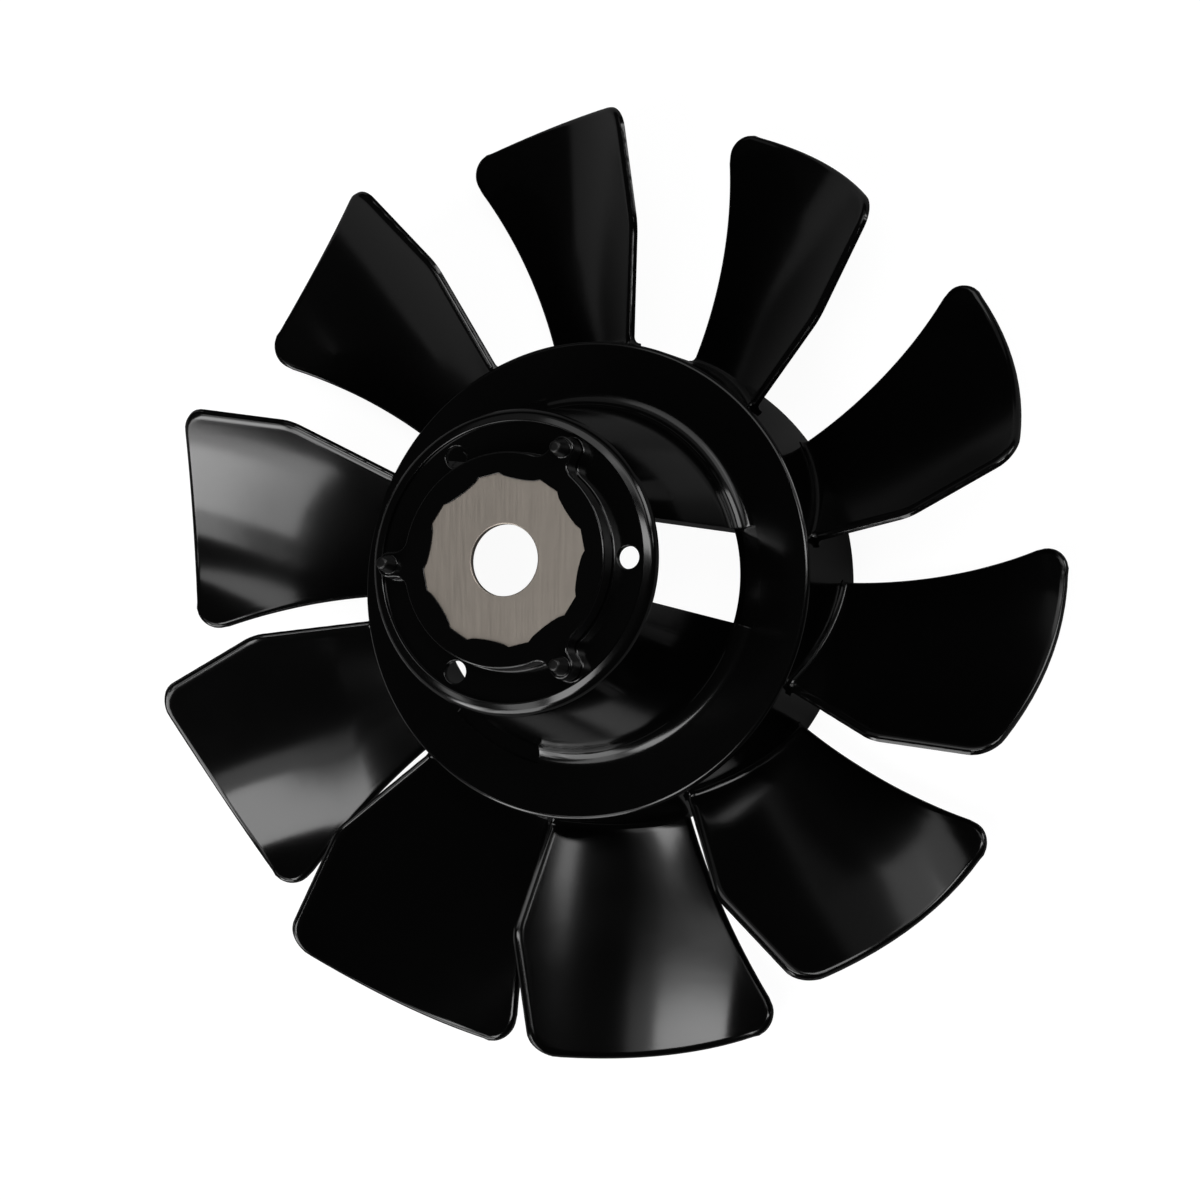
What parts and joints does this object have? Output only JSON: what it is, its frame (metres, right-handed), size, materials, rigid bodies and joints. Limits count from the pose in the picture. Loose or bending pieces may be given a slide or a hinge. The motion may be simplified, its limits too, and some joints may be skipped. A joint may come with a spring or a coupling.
{
  "type": "axial fan impeller",
  "caption": "One-piece moulded axial fan wheel with cambered blades, a deep drum, a tapered windowed boss and a steel hub disc with a plain bore.",
  "frame": {"origin": "on the wheel's axis in the plane of the drum's back rim", "axes": "+Z along the axis, out of the boss towards the pegs; +X through the middle of one side window"},
  "size_m": [0.2974, 0.2974, 0.1081],
  "materials": {
    "black_plastic": "smooth glossy black moulded plastic",
    "hub_steel": "plain blanked steel sheet, satin"
  },
  "bodies": {
    "root": {"impeller": "black_plastic", "hub_disc": "hub_steel"}
  },
  "joints": []
}
